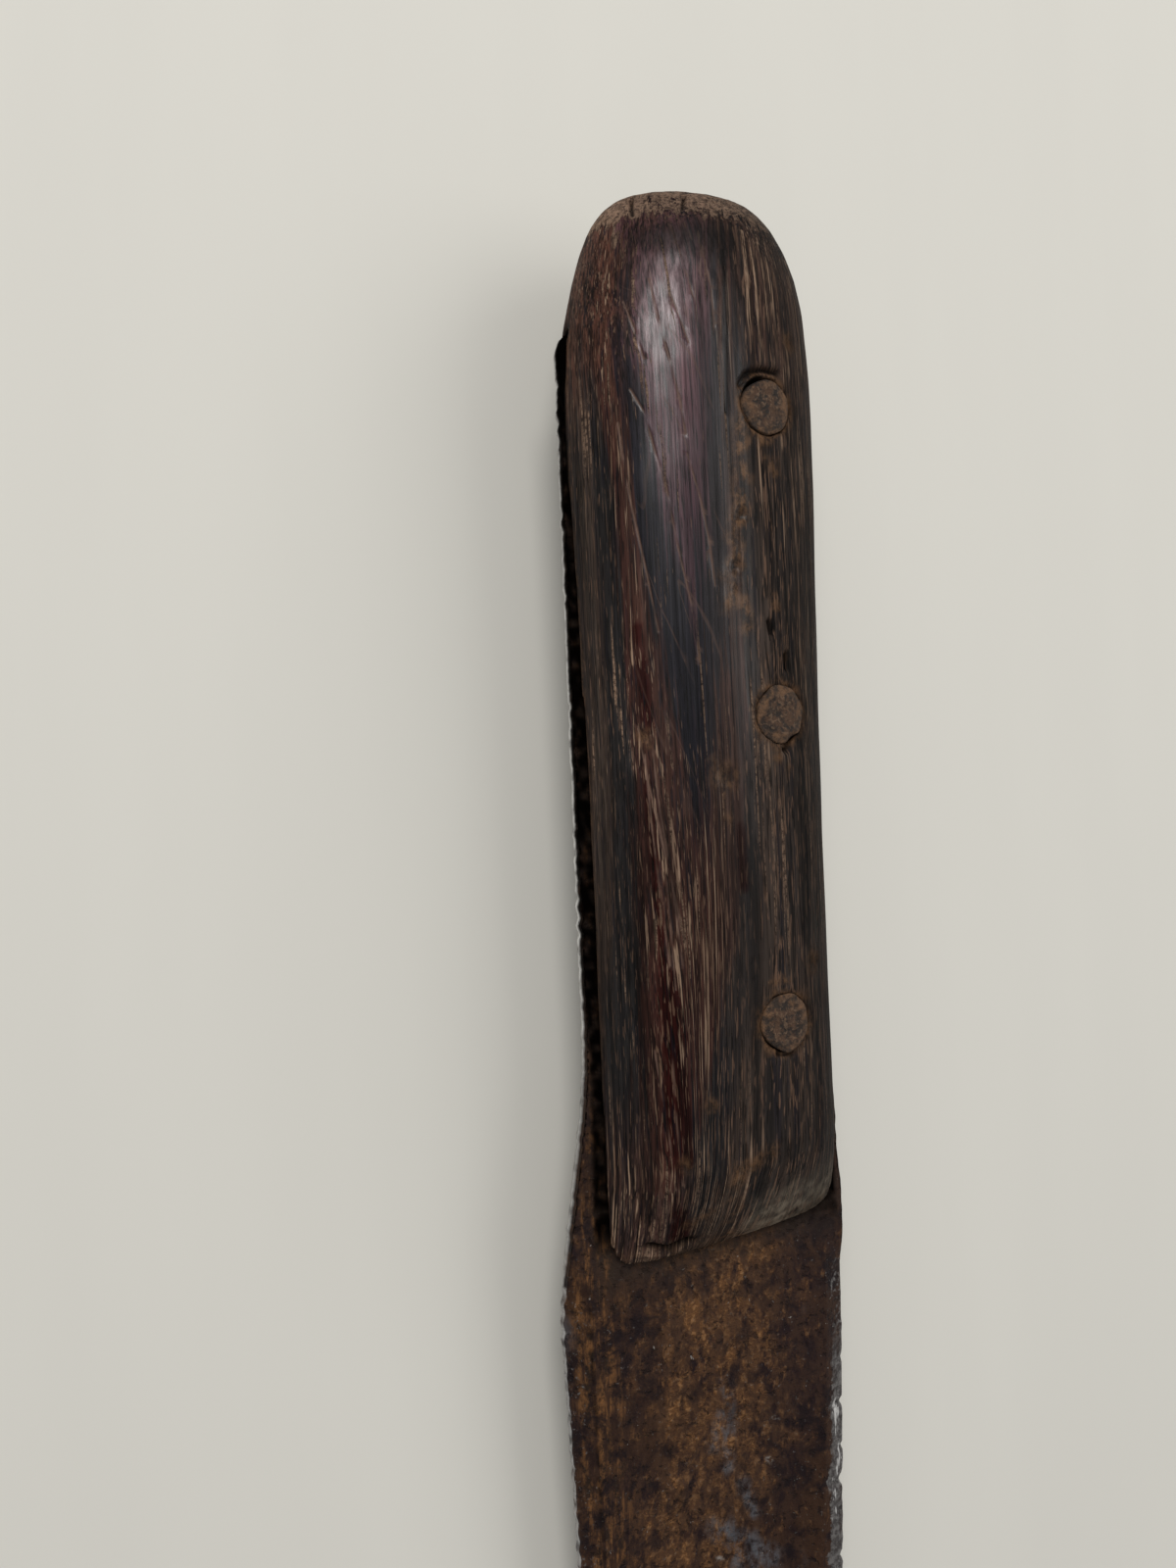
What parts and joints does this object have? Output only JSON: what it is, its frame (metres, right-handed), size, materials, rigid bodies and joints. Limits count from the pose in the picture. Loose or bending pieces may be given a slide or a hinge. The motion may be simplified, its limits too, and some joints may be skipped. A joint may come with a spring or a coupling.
{
  "type": "fern trowel",
  "caption": "Narrow hand trowel with a shallow dished steel blade and a domed hardwood handle pinned over its flat tang.",
  "frame": {"origin": "under the middle of the whole tool, at the level of the underside of the handle", "axes": "+Y along the handle towards the butt, -Y towards the tip, +Z out of the dished upper face, +X towards the straight edge of the steel, which is the side the pins stand nearer"},
  "size_m": [0.037, 0.2916, 0.0235],
  "materials": {
    "steel": "brown rust patina with bare worn edges",
    "wood": "dark rosewood, hand polished on the crown and dry on the sides",
    "pin_iron": "filed flush and rusted brown"
  },
  "bodies": {
    "root": {"blade": "steel", "handle": "wood", "pin_butt": "pin_iron", "pin_middle": "pin_iron", "pin_front": "pin_iron"}
  },
  "joints": []
}
